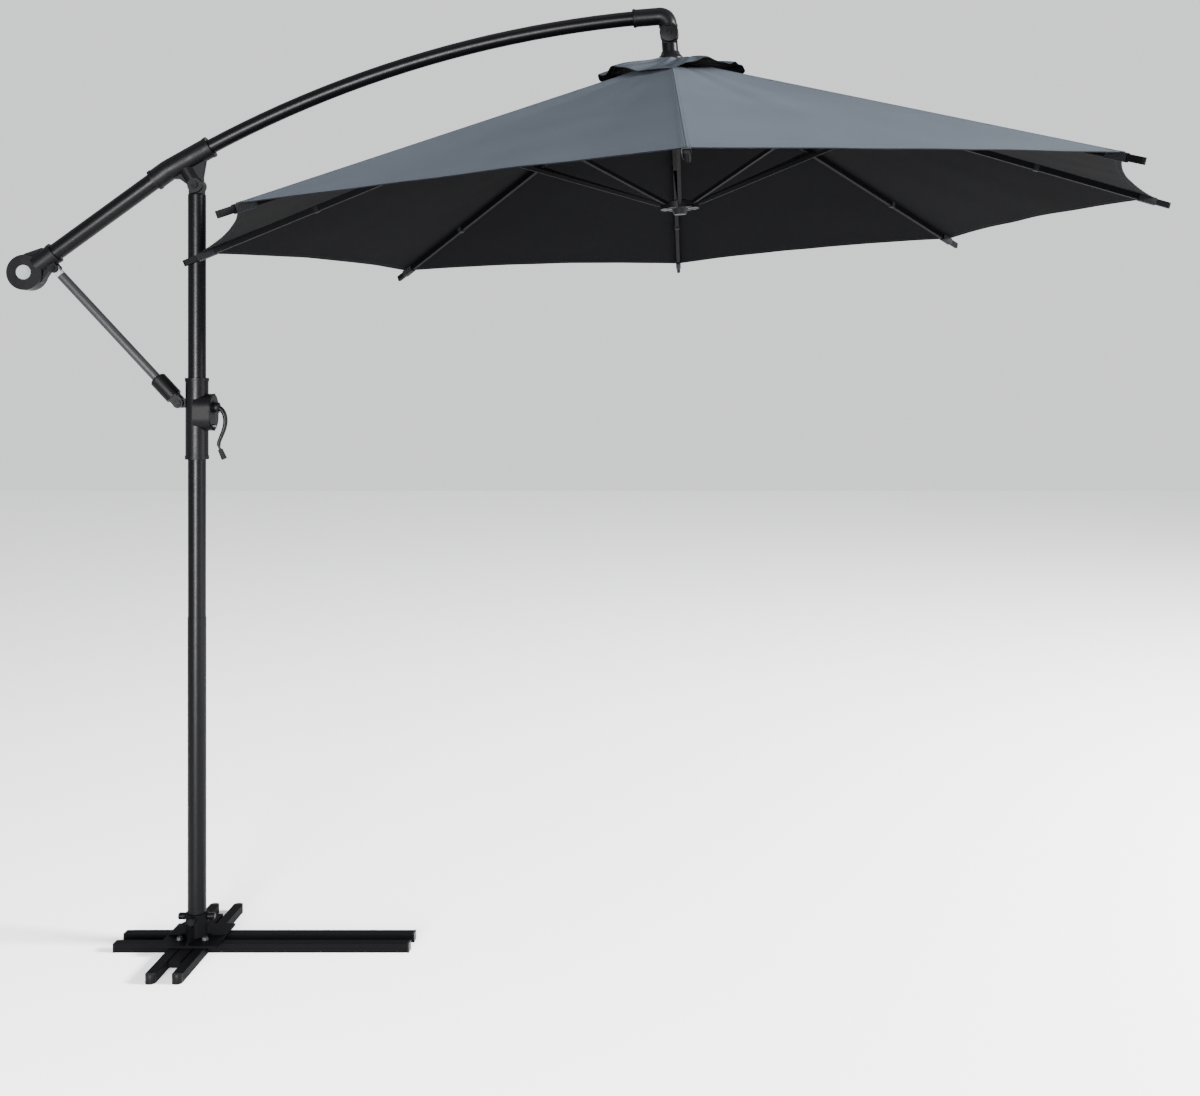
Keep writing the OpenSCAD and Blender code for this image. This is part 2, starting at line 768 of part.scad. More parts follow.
module stretcher(i) {
    ear_in = rib_wide / 2 + 0.6;
    ear_t = 2;
    s = stretcher_side;
    color(charcoal) stretcher_frame(i) difference() {
        union() {
            for (side = [-1, 1]) translate([0, side * (ear_in + ear_t / 2), 0]) {
                across(6, ear_t);
                translate([0, -ear_t / 2, -s / 2]) cube([fork_len + 8, ear_t, s]);
            }
            translate([fork_len, -ear_in - ear_t, -s / 2]) cube([8, 2 * (ear_in + ear_t), s]);
            translate([fork_len + 4, -s / 2, -s / 2]) difference() {
                cube([stretcher_at - fork_len - 26, s, s]);
                translate([6, thin_wall, thin_wall])
                    cube([stretcher_at, s - 2 * thin_wall, s - 2 * thin_wall]);
            }
            translate([stretcher_at - 34, -4.5, -4]) cube([34, 9, 8]);
            translate([stretcher_at, 0, 0]) across(7, 9);
        }
        across(pin_r + run_fit, 60);
        translate([stretcher_at, 0, 0]) across(2.5, 20);
    }
}

// Height of the cloth's underside above the tilt pivot's plane, at radius r along a rib
function cloth_w(r) =
    rib_pivot_w - (r - hub_r) * tan(rib_drop) + (rib_deep / 2 + 1) / cos(rib_drop);

// A point of the cloth: v runs from the vent to the hem, and h from one half gore to the other
function hem_r(h) = cloth_r - hem_sag / cos(RIB_STEP / 2) * 4 * abs(h) * (1 - abs(h));
function cloth_point(v, h, lift) =
    let (r = vent_r + (hem_r(h) - vent_r) * v)
    [r * (1 - abs(h) * (1 - cos(RIB_STEP))), r * h * sin(RIB_STEP), cloth_w(r) + lift];

// One rib's share of the cloth, from the middle of one gore to the middle of the next
module canopy_panel(i) {
    rows = 8;
    cols = 8;
    edge = 0.4985;
    stride = cols + 1;
    layer = (rows + 1) * stride;
    points = [for (lift = [0, cloth_t], a = [0:rows], b = [0:cols])
        cloth_point(a / rows, edge * (2 * b / cols - 1), lift)];
    function at(l, a, b) = l * layer + a * stride + b;
    faces = concat(
        [for (a = [0:rows - 1], b = [0:cols - 1]) [at(1, a, b), at(1, a, b + 1), at(1, a + 1, b)]],
        [for (a = [0:rows - 1], b = [0:cols - 1])
            [at(1, a + 1, b), at(1, a, b + 1), at(1, a + 1, b + 1)]],
        [for (a = [0:rows - 1], b = [0:cols - 1]) [at(0, a, b), at(0, a + 1, b), at(0, a, b + 1)]],
        [for (a = [0:rows - 1], b = [0:cols - 1])
            [at(0, a + 1, b), at(0, a + 1, b + 1), at(0, a, b + 1)]],
        [for (b = [0:cols - 1]) [at(0, 0, b), at(0, 0, b + 1), at(1, 0, b + 1), at(1, 0, b)]],
        [for (b = [0:cols - 1])
            [at(0, rows, b + 1), at(0, rows, b), at(1, rows, b), at(1, rows, b + 1)]],
        [for (a = [0:rows - 1]) [at(0, a + 1, 0), at(0, a, 0), at(1, a, 0), at(1, a + 1, 0)]],
        [for (a = [0:rows - 1])
            [at(0, a, cols), at(0, a + 1, cols), at(1, a + 1, cols), at(1, a, cols)]]
    );
    color(cloth_grey) rib_plane(i) polyhedron(points = points, faces = faces);
}

long_rails();
short_rails();
rail_end_caps();
mast_foot();
foot_bolts();
socket_screws();
mast_lower();
mast_upper();
mast_head();
slider_sleeve();
winch_cover();
cover_screws();
strut_pin_lower();
winch_shaft();
winch_drum();
ratchet_wheel();
crank_arm();
crank_grip();
ratchet_pawl();
strut_tube();
strut_socket();
strut_eye();
arm_bracket();
arm_rear_tube();
arm_front_tube();
tail_fitting();
tail_caps();
arm_pins();
tail_pulley();
elbow_pulley();
elbow_fitting();
pole_knuckle();
vent_collar();
top_hub();
vent_cap();
runner();
for (i = [0:RIBS - 1]) {
    rib(i);
    stretcher(i);
    canopy_panel(i);
}
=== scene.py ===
"""Cantilever patio umbrella: cloth, fittings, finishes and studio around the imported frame."""

import math
import random

import bpy
from mathutils import Matrix, Vector, noise


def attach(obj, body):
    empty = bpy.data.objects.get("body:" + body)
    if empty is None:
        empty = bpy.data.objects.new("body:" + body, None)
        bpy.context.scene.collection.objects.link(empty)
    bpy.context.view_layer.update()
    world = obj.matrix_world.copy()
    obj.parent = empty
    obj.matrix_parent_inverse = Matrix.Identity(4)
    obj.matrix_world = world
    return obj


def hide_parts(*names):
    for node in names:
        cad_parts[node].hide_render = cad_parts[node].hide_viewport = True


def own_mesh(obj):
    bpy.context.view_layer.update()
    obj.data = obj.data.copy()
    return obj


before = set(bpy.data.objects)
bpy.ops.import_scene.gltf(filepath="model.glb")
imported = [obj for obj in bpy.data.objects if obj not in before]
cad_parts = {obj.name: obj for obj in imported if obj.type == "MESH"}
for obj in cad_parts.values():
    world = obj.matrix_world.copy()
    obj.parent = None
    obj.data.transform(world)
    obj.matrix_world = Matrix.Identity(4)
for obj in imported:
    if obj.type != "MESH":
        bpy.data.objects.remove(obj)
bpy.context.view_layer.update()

bl_info = {
    "name": "Cantilever patio umbrella",
    "version": (1, 0, 0),
    "blender": (4, 5, 0),
    "location": "View3D > Sidebar > Umbrella",
    "description": "Builds the cloth, fittings, finishes and studio of a cantilever umbrella",
    "category": "Object",
}

# ---- shared sizes, in metres, as the frame has them ----

RIBS = 8
STEP = math.radians(360 / RIBS)
TILT_PIVOT = Vector((1.314, 0, 2.538))
LEAN = math.radians(3.5)
TURN = math.radians(1.5)
HUB_R = 0.040
RIB_PIVOT_W = -0.096
DROP = math.radians(19.17)
TIP_R = 1.375
RIB_DEEP = 0.016
RIB_WIDE = 0.012
RIB_LEN = (TIP_R - HUB_R) / math.cos(DROP)
BEND = Vector((-0.080, 0, 2.157))
ARC_R = 3.157
BEND_ANGLE = math.radians(30.55)
ARC_CENTRE = BEND + ARC_R * Vector((math.sin(BEND_ANGLE), 0, -math.cos(BEND_ANGLE)))
WINCH_Z = 1.498

CANOPY = Matrix.Translation(TILT_PIVOT) @ Matrix.Rotation(-LEAN, 4, "Y")


def rib_plane(i):
    """The plane of rib i: +X out along the ground plan of the rib, +Z up the canopy's axis."""
    return CANOPY @ Matrix.Rotation(TURN + STEP * i, 4, "Z")


def rib_frame(i):
    """+X runs out along rib i from its hub pivot."""
    pivot = Matrix.Translation((HUB_R, 0, RIB_PIVOT_W))
    return rib_plane(i) @ pivot @ Matrix.Rotation(DROP, 4, "Y")


def arc_point(degrees):
    """A point on the axis of the curved arm, at an angle from the top of its arc."""
    a = math.radians(degrees)
    return ARC_CENTRE + ARC_R * Vector((-math.sin(a), 0, math.cos(a)))


# ---- settings that a user would change ----


class ClothSettings(bpy.types.PropertyGroup):
    """Sizes and colours of the canopy cloth."""

    vent_r: bpy.props.FloatProperty(
        name="Vent radius", description="Radius of the vent opening", default=0.150, unit="LENGTH"
    )
    corner_r: bpy.props.FloatProperty(
        name="Corner radius", description="Radius of the cloth at each rib", default=1.330,
        unit="LENGTH",
    )
    hem_sag: bpy.props.FloatProperty(
        name="Hem sag", description="Inward sag of each hem between two ribs", default=0.036,
        unit="LENGTH",
    )
    gore_dip: bpy.props.FloatProperty(
        name="Gore dip", description="How far the middle of each gore pulls down under tension",
        default=0.011, unit="LENGTH",
    )
    cap_r: bpy.props.FloatProperty(
        name="Vent cap radius", description="Outer radius of the vent cap", default=0.205,
        unit="LENGTH",
    )
    top_colour: bpy.props.StringProperty(
        name="Cloth colour", description="sRGB hex colour of the upper face", default="#363B41"
    )
    # the cloth's under face is drawn near black: painted shade
    under_shade_colour: bpy.props.StringProperty(
        name="Under face colour, painted shade", description="sRGB hex colour of the under face in painted shade",
        default="#020203",
    )


class FrameSettings(bpy.types.PropertyGroup):
    """Colours of the frame's finishes."""

    steel_colour: bpy.props.StringProperty(
        name="Steel coating", description="sRGB hex colour of the powder coat on the steel",
        default="#030304",
    )
    plastic_colour: bpy.props.StringProperty(
        name="Moulded plastic", description="sRGB hex colour of the moulded nylon",
        default="#030304",
    )
    coat_roughness: bpy.props.FloatProperty(
        name="Coat roughness", description="Roughness of the powder coat", default=0.34,
        min=0.05, max=1.0, subtype="FACTOR",
    )


class StageSettings(bpy.types.PropertyGroup):
    """Studio light."""

    key_power: bpy.props.FloatProperty(
        name="Key light", description="Power of the overhead light", default=60.0, unit="POWER"
    )
    strip_power: bpy.props.FloatProperty(
        name="Strip light", description="Power of the tall strip light", default=420.0, unit="POWER"
    )
    sky: bpy.props.FloatProperty(
        name="Sky", description="Strength of the white surround", default=1.15, min=0.0, max=3.0
    )


# ---- nodes and colours ----


def linear(hex_colour):
    """An sRGB hex colour as the linear RGBA values that a shader takes."""
    values = [int(hex_colour[k:k + 2], 16) / 255 for k in (1, 3, 5)]
    return [v / 12.92 if v <= 0.04045 else ((v + 0.055) / 1.055) ** 2.4 for v in values] + [1.0]


def add(tree, kind, inputs=None, **settings):
    """Adds a node with its settings. An input that is a socket is linked, and any other is set."""
    made = tree.nodes.new(kind)
    for key, value in settings.items():
        setattr(made, key, value)
    for key, value in (inputs or {}).items():
        if isinstance(value, bpy.types.NodeSocket):
            tree.links.new(value, made.inputs[key])
        else:
            made.inputs[key].default_value = value
    return made


def math_node(tree, operation, *values):
    """The output of one Math node on the given values or sockets."""
    return add(tree, "ShaderNodeMath", dict(enumerate(values)), operation=operation).outputs[0]


def mix_colour(tree, factor, a, b, blend="MIX"):
    """The output of a colour mix."""
    return add(tree, "ShaderNodeMix", {0: factor, 6: a, 7: b}, data_type="RGBA",
               blend_type=blend).outputs[2]


def new_material(name, **shader):
    """A material with one Principled shader, whose constant values are set on its own sockets."""
    material = bpy.data.materials.new(name)
    material.use_nodes = True
    tree = material.node_tree
    tree.nodes.clear()
    surface = add(tree, "ShaderNodeBsdfPrincipled", shader)
    out = add(tree, "ShaderNodeOutputMaterial")
    tree.links.new(surface.outputs[0], out.inputs[0])
    return material, tree, surface


def object_noise(tree, size_mm, detail=2.0, stretch=(1, 1, 1)):
    """Noise on Object coordinates whose grain is about size_mm across."""
    place = add(tree, "ShaderNodeTexCoord").outputs["Object"]
    turned = add(tree, "ShaderNodeMapping", {"Vector": place, "Scale": stretch})
    return add(tree, "ShaderNodeTexNoise", {
        "Vector": turned.outputs[0], "Scale": 1000 / size_mm, "Detail": detail,
    }).outputs["Fac"]


def spread(tree, value, low, high, to_low, to_high):
    """Value's range low to high, spread over to_low to to_high."""
    return add(tree, "ShaderNodeMapRange", {
        "Value": value, "From Min": low, "From Max": high, "To Min": to_low, "To Max": to_high,
    }).outputs[0]


def noise_to(tree, value, low, high):
    """Noise, which stays mostly between 0.3 and 0.7, spread over low to high."""
    return spread(tree, value, 0.3, 0.7, low, high)


def shade_of(tree, colour, tone):
    """A hex colour made darker or lighter by the value tone."""
    grey = add(tree, "ShaderNodeCombineColor", {0: tone, 1: tone, 2: tone}).outputs[0]
    return mix_colour(tree, 1.0, linear(colour), grey, "MULTIPLY")


def emboss(tree, surface, height, strength, deep):
    """Raises the surface by height, over a depth in metres."""
    bump = add(tree, "ShaderNodeBump", {"Height": height, "Strength": strength, "Distance": deep})
    tree.links.new(bump.outputs[0], surface.inputs["Normal"])


def powder_coat(name, colour, roughness, metal_below, gloss=0.06):
    """Powder coat baked on to tube: satin, with a faint orange peel, and thin at rubbed places.

    The real peel is about 2 mm across and the specks finer, so both are drawn coarser."""
    material, tree, surface = new_material(name, **{"IOR": 1.5, "Specular IOR Level": gloss})
    peel = object_noise(tree, 8.0, 1)
    broad = object_noise(tree, 90, 2)
    grit = object_noise(tree, 5.0, 1)
    tone = noise_to(tree, broad, 0.88, 1.12)
    tinted = shade_of(tree, colour, tone)
    speck = spread(tree, grit, 0.70, 0.74, 0.0, metal_below)
    tree.links.new(mix_colour(tree, speck, tinted, linear("#1A1B1C")), surface.inputs["Base Color"])
    tree.links.new(noise_to(tree, peel, roughness - 0.02, roughness + 0.03),
                   surface.inputs["Roughness"])
    emboss(tree, surface, peel, 0.04, 0.0004)
    return material


def moulded(name, colour, roughness, grain_mm):
    """Injection-moulded plastic: a spark-eroded grain, faint flow marks and handling polish.

    The real grain is under a millimetre, too fine to show, so grain_mm is coarser."""
    material, tree, surface = new_material(name, **{"IOR": 1.48, "Specular IOR Level": 0.07})
    grain = object_noise(tree, grain_mm, 2)
    flow = object_noise(tree, 35, 3, (1, 1, 0.35))
    tone = noise_to(tree, flow, 0.82, 1.2)
    tinted = shade_of(tree, colour, tone)
    tree.links.new(tinted, surface.inputs["Base Color"])
    polish = math_node(tree, "MULTIPLY", spread(tree, flow, 0.35, 0.65, 0.0, 1.0), 0.12)
    rough = math_node(tree, "SUBTRACT",
                      noise_to(tree, grain, roughness - 0.01, roughness + 0.05), polish)
    tree.links.new(rough, surface.inputs["Roughness"])
    emboss(tree, surface, grain, 0.07, 0.0004)
    return material


def steel(name, dull, bright, roughness):
    """Turned steel with a thin finish on it: turning marks, and a bloom where it is dull.

    Real turning marks are about 0.1 mm apart, too fine to show, so they are drawn coarser."""
    material, tree, surface = new_material(name, **{"Metallic": 1.0})
    bloom = object_noise(tree, 6, 4)
    marks = object_noise(tree, 0.8, 2, (1, 6, 1))
    tree.links.new(mix_colour(tree, spread(tree, bloom, 0.35, 0.65, 0, 1), linear(dull),
                              linear(bright)), surface.inputs["Base Color"])
    tree.links.new(noise_to(tree, marks, roughness, roughness + 0.18),
                   surface.inputs["Roughness"])
    emboss(tree, surface, marks, 0.15, 0.0003)
    return material


def attribute(tree, name):
    """A value that the cloth's own mesh carries, in millimetres."""
    return add(tree, "ShaderNodeAttribute", attribute_name=name).outputs["Fac"]


def band(tree, value, low, high, soft=0.4):
    """1 where value is between low and high, fading over soft."""
    up = spread(tree, value, low - soft, low + soft, 0, 1)
    down = spread(tree, value, high - soft, high + soft, 1, 0)
    return math_node(tree, "MULTIPLY", up, down)


def stitches(tree, distance, row_mm, along):
    """A lockstitched row at row_mm from an edge: 4 mm stitches with a dimple between two."""
    row = band(tree, distance, row_mm - 0.7, row_mm + 0.7, 0.3)
    pitch = math_node(tree, "FRACT", math_node(tree, "DIVIDE", along, 4.0))
    return math_node(tree, "MULTIPLY", row, band(tree, pitch, 0.15, 0.85, 0.08))


THREAD_MM = 2.6


def woven(name, colour, roughness, gloss, contrast, hem_shade):
    """Solution-dyed polyester canvas: plain weave, faint slubs, sewn seams and turned hems.

    The real threads are about 0.5 mm apart, too fine to show, so they are drawn coarser."""
    material, tree, surface = new_material(
        name, **{"IOR": 1.45, "Specular IOR Level": gloss, "Roughness": roughness})
    seam, hem = attribute(tree, "seam_mm"), attribute(tree, "hem_mm")
    warp, weft = attribute(tree, "across_mm"), attribute(tree, "along_mm")
    turns = 2 * math.pi / THREAD_MM
    one = math_node(tree, "SINE", math_node(tree, "MULTIPLY", warp, turns))
    two = math_node(tree, "SINE", math_node(tree, "MULTIPLY", weft, turns))
    weave = math_node(tree, "MULTIPLY", one, two)
    broad, slub = object_noise(tree, 260, 3), object_noise(tree, 9, 3, (1, 1, 3))
    tone = math_node(tree, "ADD", noise_to(tree, broad, 1 - contrast, 1 + contrast),
                     noise_to(tree, slub, -0.035, 0.035))
    # the per-gore tone is a random dye tone on the canopy, and on the vent cap a fixed darkening
    # that is painted shade
    tone = math_node(tree, "MULTIPLY", tone, attribute(tree, "dye_tone_and_shade"))
    tone = math_node(tree, "ADD", tone, math_node(tree, "MULTIPLY", weave, 0.03))
    tinted = shade_of(tree, colour, tone)
    # painted shade: the cloth darkens towards its turned edges at hem and vent, and along the
    # seam's fold
    edge = spread(tree, hem, 1.5, 4.0, hem_shade, 0.0)
    fold = band(tree, seam, -1.0, 1.1, 0.6)
    shade = math_node(tree, "MAXIMUM", edge, math_node(tree, "MULTIPLY", fold, 0.75))
    shaded = mix_colour(tree, shade, tinted, linear("#17181B"))
    sewn = math_node(tree, "MAXIMUM", stitches(tree, seam, 5.5, weft),
                     stitches(tree, hem, 14.0, warp))
    tree.links.new(mix_colour(tree, math_node(tree, "MULTIPLY", sewn, 0.55), shaded,
                              linear("#23252A")), surface.inputs["Base Color"])
    height = math_node(tree, "SUBTRACT", math_node(tree, "MULTIPLY", weave, 0.35),
                       math_node(tree, "MULTIPLY", sewn, 1.2))
    emboss(tree, surface, height, 0.35, 0.0006)
    return material


def webbing(name, colour):
    """Woven polyester tape: close cross ribs, matte, with a fuzz that catches light.

    Real cross ribs are about 1.5 mm apart, too fine to show, so they are drawn coarser."""
    material, tree, surface = new_material(
        name, **{"IOR": 1.45, "Roughness": 0.82, "Sheen Weight": 0.04, "Sheen Roughness": 0.4,
                 "Specular IOR Level": 0.05})
    place = add(tree, "ShaderNodeTexCoord").outputs["Object"]
    ribs = add(tree, "ShaderNodeTexWave", {"Vector": place, "Scale": 110.0, "Distortion": 1.5},
               wave_type="BANDS", bands_direction="DIAGONAL").outputs["Fac"]
    fuzz = object_noise(tree, 2.5, 3)
    tree.links.new(mix_colour(tree, noise_to(tree, fuzz, 0.0, 0.7), linear(colour),
                              linear("#101113")), surface.inputs["Base Color"])
    emboss(tree, surface, ribs, 0.4, 0.0006)
    return material


def floor_paint(name):
    """Matt emulsion on a studio floor: pale, even, with a faint roller stipple.

    Real stipple is 2 to 3 mm across, too fine to show, so it is drawn coarser."""
    material, tree, surface = new_material(name, **{"Roughness": 0.9, "IOR": 1.4,
                                                    "Specular IOR Level": 0.15})
    stipple = object_noise(tree, 14, 3)
    tree.links.new(mix_colour(tree, stipple, linear("#FAFAF9"), linear("#FCFCFB")),
                   surface.inputs["Base Color"])
    return material


def finishes():
    """Every finish by name, made once."""
    names = {"Powder-coated steel", "Polyester canvas, upper face"}
    if not names <= set(bpy.data.materials.keys()):
        cloth, metal = bpy.context.scene.umbrella_cloth, bpy.context.scene.umbrella_frame
        # drawn mild steel tube with a satin coat: the mast
        powder_coat("Powder-coated steel", metal.steel_colour, metal.coat_roughness, 0.20)
        # steel rails and foot plate, with a rougher coat against the ground
        powder_coat("Textured powder coat on rails", "#020203", 0.60, 0.08, 0.03)
        # thin aluminium ribs and stretchers, in a matt coat
        powder_coat("Matt powder coat on ribs", "#020203", 0.55, 0.03, 0.03)
        # aluminium tube, plainer at rubbed places than steel: the arm and the knuckle
        powder_coat("Powder-coated aluminium", "#030304", metal.coat_roughness, 0.06)
        # steel tube in a grey coat
        powder_coat("Grey powder-coated strut", "#161718", 0.44, 0.05, 0.16)
        # injection-moulded fittings, hub, runner and winch housing
        moulded("Glass-filled nylon, moulded", metal.plastic_colour, 0.46, 5.0)
        # the same nylon from a coarser mould: the arm's bracket, elbow and tail
        moulded("Glass-filled nylon, coarse mould", "#030304", 0.48, 6.5)
        # the tail's caps, both pulleys and the strut's eye
        moulded("Grey ABS, moulded", "#5E6163", 0.46, 5.0)
        # the crank's loose sleeve, with a matter skin
        moulded("Glass-filled nylon, matt grip", "#0A0B0C", 0.66, 4.0)
        # zinc on the foot bolts and inside the winch, black oxide on pins and cover screws
        steel("Zinc-plated steel, turned", "#2E3032", "#46494B", 0.38)
        steel("Black-oxide steel, turned", "#0B0C0D", "#131415", 0.36)
        # one canvas: dyed above, and drawn near black below, which is painted shade
        woven("Polyester canvas, upper face", cloth.top_colour, 0.90, 0.05, 0.05, 0.85)
        woven("Polyester canvas, coated under face", cloth.under_shade_colour, 0.85, 0.03, 0.10, 0.3)
        # tip pockets and the ties that hold the cloth to the ribs
        webbing("Polyester webbing", "#060708")
        floor_paint("Studio floor, matt emulsion")
    return bpy.data.materials


# ---- small modelling helpers ----


def clear_selection():
    """Leaves object mode with nothing selected."""
    if bpy.context.object and bpy.context.object.mode != "OBJECT":
        bpy.ops.object.mode_set(mode="OBJECT")
    bpy.ops.object.select_all(action="DESELECT")


def settle(piece, name, material, angle=35):
    """Names a modelled piece, applies its place, gives it its finish and smooths its faces."""
    clear_selection()
    bpy.context.view_layer.objects.active = piece
    piece.select_set(True)
    piece.name = piece.data.name = name
    bpy.ops.object.transform_apply(location=True, rotation=True, scale=True)
    piece.data.materials.clear()
    piece.data.materials.append(finishes()[material])
    bpy.ops.object.shade_smooth_by_angle(angle=math.radians(angle))
    piece.select_set(False)
    return piece


def sweep(points, sizes, sides=20, flat=1.0):
    """A closed tube along points in the XZ plane: a disc, extruded and turned from point to point.

    sizes gives its radius at each point. flat is its width across Y over its width in the plane."""
    clear_selection()
    start, ahead = points[0], points[1] - points[0]
    bpy.ops.mesh.primitive_circle_add(vertices=sides, radius=1, fill_type="NGON", location=start)
    piece = bpy.context.object
    last = math.atan2(ahead.x, ahead.z)
    piece.rotation_euler = (0, last, 0)
    piece.scale = (sizes[0], sizes[0] * flat, 1)
    bpy.ops.object.transform_apply(location=True, rotation=True, scale=True)
    bpy.ops.object.mode_set(mode="EDIT")
    bpy.ops.mesh.select_all(action="SELECT")
    for k in range(1, len(points)):
        here, before = points[k], points[k - 1]
        following = points[min(k + 1, len(points) - 1)] - before
        turn = math.atan2(following.x, following.z)
        bpy.ops.mesh.extrude_region_move(TRANSFORM_OT_translate={"value": here - before})
        bpy.ops.transform.rotate(value=-(turn - last), orient_axis="Y", center_override=here)
        grow = sizes[k] / sizes[k - 1]
        bpy.ops.transform.resize(value=(grow, grow, grow), center_override=here)
        last = turn
    bpy.ops.mesh.select_all(action="SELECT")
    bpy.ops.mesh.normals_make_consistent(inside=False)
    bpy.ops.object.mode_set(mode="OBJECT")
    return piece


def curve_through(points, steps=6):
    """Points on one smooth line through the given ones."""
    line = []
    for k in range(len(points) - 1):
        a, b = points[max(k - 1, 0)], points[k]
        c, d = points[k + 1], points[min(k + 2, len(points) - 1)]
        for s in range(steps):
            t = s / steps
            line.append(0.5 * (2 * b + (c - a) * t + (2 * a - 5 * b + 4 * c - d) * t * t
                               + (3 * b - a - 3 * c + d) * t ** 3))
    return line + [points[-1]]


def join(pieces):
    """Joins modelled parts of one moulding into a single object."""
    clear_selection()
    for piece in pieces:
        piece.select_set(True)
    bpy.context.view_layer.objects.active = pieces[0]
    bpy.ops.object.join()
    return bpy.context.object


# ---- cloth ----

CLOTH_LIFT = 0.00075
CLOTH_HALF = 0.0005
SEAM_HALF = 0.0065
HEM_WIDE = 0.016
VENT_EDGE_LESS = 0.005
CREASE_DEEP = 0.0022
DRAWN_DEEP = 0.0016
DYE_SEED = 7
DYE_RANGE = (0.965, 1.035)
# the chord between two neighbouring ribs at 1 m radius, in millimetres
CHORD_MM = 765


def rib_line_w(r):
    """Height of the cloth over a rib, at radius r, in the canopy's own frame."""
    over_rib = (RIB_DEEP / 2 + 0.001) / math.cos(DROP)
    return RIB_PIVOT_W - (r - HUB_R) * math.tan(DROP) + over_rib + CLOTH_LIFT


def gore_point(i, v, h):
    """A point of the stretched cloth of rib i: v from vent to hem, h from mid gore to mid gore."""
    cloth = bpy.context.scene.umbrella_cloth
    part = 4 * abs(h) * (1 - abs(h))
    hem = cloth.corner_r - cloth.hem_sag / math.cos(STEP / 2) * part
    r = cloth.vent_r + (hem - cloth.vent_r) * v
    swell = math.sin(math.pi * min(1, 0.12 + 0.80 * v)) * 0.7 + 0.3 * v
    x, y = r * (1 - abs(h) * (1 - math.cos(STEP))), r * h * math.sin(STEP)
    turned = Matrix.Rotation(TURN + STEP * i, 3, "Z") @ Vector((x, y, 0))
    # soft creases that run out to the corners, and a slack of a millimetre or so between ribs
    crease = noise.noise(Vector((turned.x * 5.1, turned.y * 5.1, 3.7)))
    drawn = noise.noise(Vector((math.atan2(turned.y, turned.x) * 9.0, r * 1.6, 8.1)))
    dip = cloth.gore_dip * part * swell + CREASE_DEEP * part * crease + DRAWN_DEEP * part * drawn
    w = rib_line_w(r) - dip
    return CANOPY @ Vector((turned.x, turned.y, w))


def gore_normal(i, v, h):
    """The cloth's upward normal there. Over a rib it is the mean of the two gores' normals."""
    e = 0.004
    near = [max(0, v - e), min(1, v + e)]
    out = gore_point(i, near[1], h) - gore_point(i, near[0], h)
    side = gore_point(i, v, h + e) - gore_point(i, v, h - e)
    return out.cross(side).normalized()


def sector_rows(length):
    """Shares of the way from vent to hem, close together at the two turned edges."""
    ends = [0, 0.0015, 0.010, 0.012]
    tail = [length - d for d in (HEM_WIDE + 0.002, HEM_WIDE, 0.0015, 0)]
    count = 34
    inner = [ends[-1] + (tail[0] - ends[-1]) * k / count for k in range(1, count)]
    return [d / length for d in ends + inner + tail]


def sector_columns(half_wide):
    """Shares of the way from the seam to mid gore, close together at the seam."""
    seam = [0, 0.0022, SEAM_HALF, SEAM_HALF + 0.0015]
    count = 13
    inner = [seam[-1] + (half_wide - seam[-1]) * k / count for k in range(1, count + 1)]
    return [d / half_wide * 0.5 for d in seam + inner]


